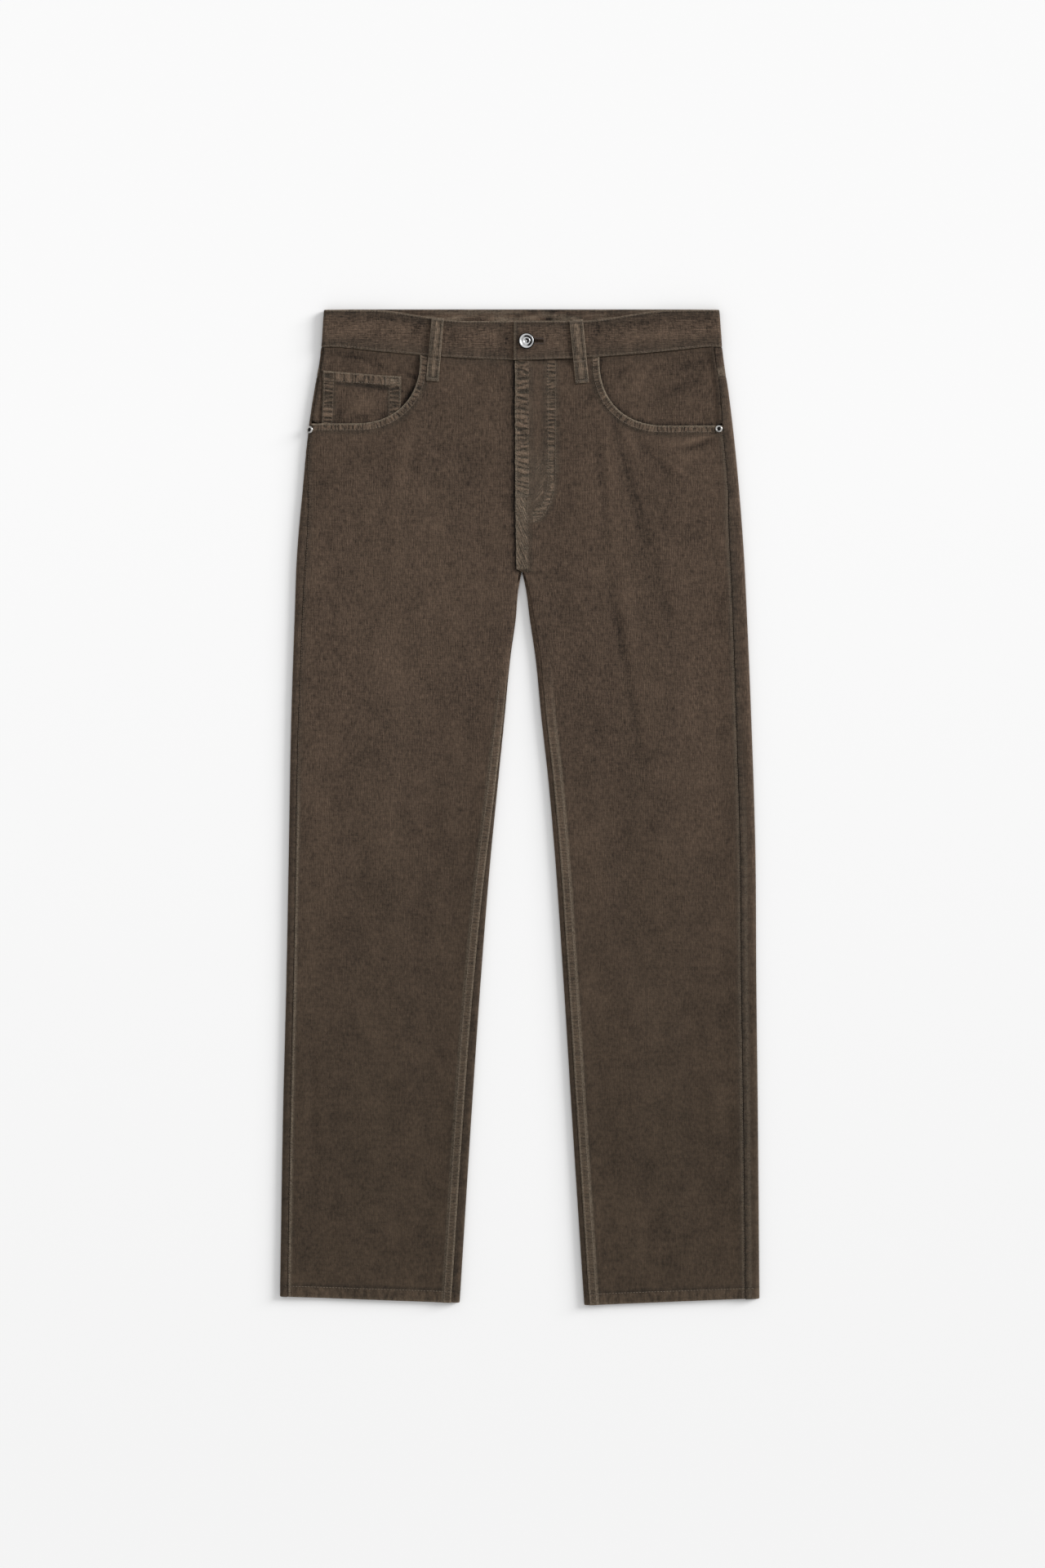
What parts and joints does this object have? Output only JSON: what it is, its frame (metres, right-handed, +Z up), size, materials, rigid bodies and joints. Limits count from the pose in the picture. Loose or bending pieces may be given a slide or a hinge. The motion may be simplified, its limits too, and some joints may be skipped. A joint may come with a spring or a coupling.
{
  "type": "corduroy trousers",
  "caption": "Men's five-pocket corduroy trousers laid flat, front up: belt loops, scoop pockets, coin pocket, button waist, straight legs.",
  "frame": {"origin": "middle of the outline, on the surface that the garment lies on", "axes": "+Z up from the surface through the front of the garment, +Y from the hems towards the waist, +X towards the wearer's left"},
  "size_m": [0.5278, 1.0962, 0.0137],
  "materials": {
    "corduroy": "fine-wale cotton corduroy, washed, brown-taupe",
    "metal": "dull silver, slightly aged"
  },
  "bodies": {
    "root": {"back_left": "corduroy", "back_right": "corduroy", "yoke_left": "corduroy", "yoke_right": "corduroy", "front_left": "corduroy", "front_right": "corduroy", "pocket_facing_left": "corduroy", "pocket_facing_right": "corduroy", "coin_pocket": "corduroy", "back_pocket_left": "corduroy", "back_pocket_right": "corduroy", "waistband": "corduroy", "belt_loop_front_left": "corduroy", "belt_loop_front_right": "corduroy", "belt_loop_back_left": "corduroy", "belt_loop_back_centre": "corduroy", "belt_loop_back_right": "corduroy", "waist_button": "metal", "rivet_left": "metal", "rivet_right": "metal"}
  },
  "joints": []
}
